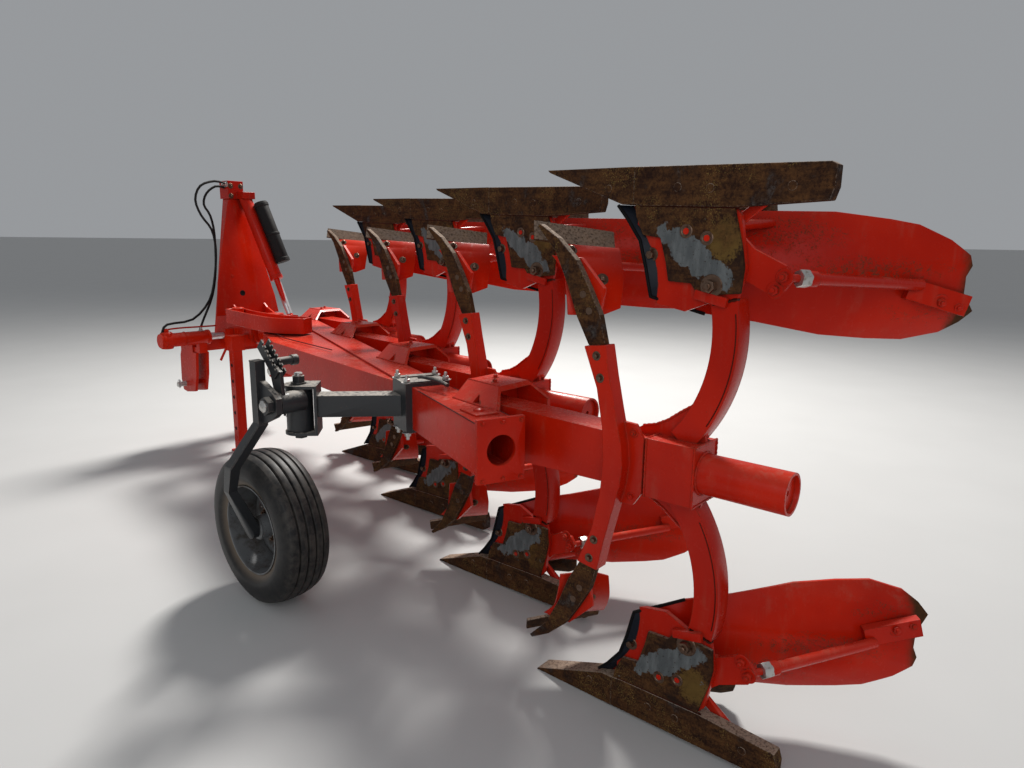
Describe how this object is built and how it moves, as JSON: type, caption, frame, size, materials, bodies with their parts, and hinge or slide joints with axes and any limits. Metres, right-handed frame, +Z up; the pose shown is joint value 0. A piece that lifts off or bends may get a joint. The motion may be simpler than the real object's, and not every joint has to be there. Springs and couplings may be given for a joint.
{
  "type": "reversible mouldboard plough",
  "caption": "Mounted reversible mouldboard plough with box beam, paired right and left hand bodies on non-stop holders, skimmers, turnover headstock, stand and depth wheel.",
  "frame": {"origin": "middle of the bounding box on the ground", "axes": "+Y in the direction of travel, +X to the right, +Z up"},
  "size_m": [2.3165, 5.093, 2],
  "materials": {
    "red_paint": "glossy red paint, dusty and worn",
    "worn_steel": "rusty steel with worn bright patches",
    "dark_paint": "satin dark grey paint",
    "black_plastic": "matt black plastic",
    "hose_rubber": "black hydraulic hose",
    "tyre_rubber": "ribbed black tyre, dusty",
    "rim_paint": "silver grey painted rim",
    "pin_steel": "bright steel"
  },
  "bodies": {
    "headstock": {"mast": "red_paint", "cross_member": "red_paint", "lower_link_pins": "pin_steel", "top_block": "red_paint", "turnover_cylinder": "red_paint", "offset_cylinder": "red_paint", "document_tube": "black_plastic", "hoses": "hose_rubber"},
    "stand": {"stand_leg": "red_paint"},
    "frame": {"turning_head": "red_paint", "front_frame": "red_paint", "main_beam": "red_paint", "arm_brackets": "red_paint", "holder_1": "red_paint", "holder_2": "red_paint", "holder_3": "red_paint", "holder_4": "red_paint", "frogs": "worn_steel", "frog_plates": "red_paint", "mouldboards": "red_paint", "share_points": "worn_steel", "share_wings": "worn_steel", "landsides": "worn_steel", "board_stays": "red_paint", "skimmer_arms": "red_paint", "skimmer_stems": "worn_steel", "skimmer_boards": "red_paint", "wheel_bar": "dark_paint", "wheel_spindle": "dark_paint"},
    "wheel_arm": {"wheel_leg": "dark_paint"},
    "wheel": {"wheel_rim": "rim_paint", "wheel_tyre": "tyre_rubber"}
  },
  "joints": [
    {"name": "turnover", "type": "hinge", "parent": "headstock", "child": "frame", "pos_m": [0.28902, 1.93652, 0.908], "axis": [0, 1, 0], "range_deg": [0, 180]},
    {"name": "stand_slide", "type": "slide", "parent": "headstock", "child": "stand", "axis": [0, 0, 1], "range_m": [0, 0.4]},
    {"name": "wheel_swing", "type": "hinge", "parent": "frame", "child": "wheel_arm", "pos_m": [-1.04428, -0.39366, 0.94], "axis": [1, 0, 0], "range_deg": [0, 136]},
    {"name": "wheel_spin", "type": "hinge", "parent": "wheel_arm", "child": "wheel", "pos_m": [-0.95628, -0.15166, 0.34], "axis": [1, 0, 0], "continuous": true}
  ]
}
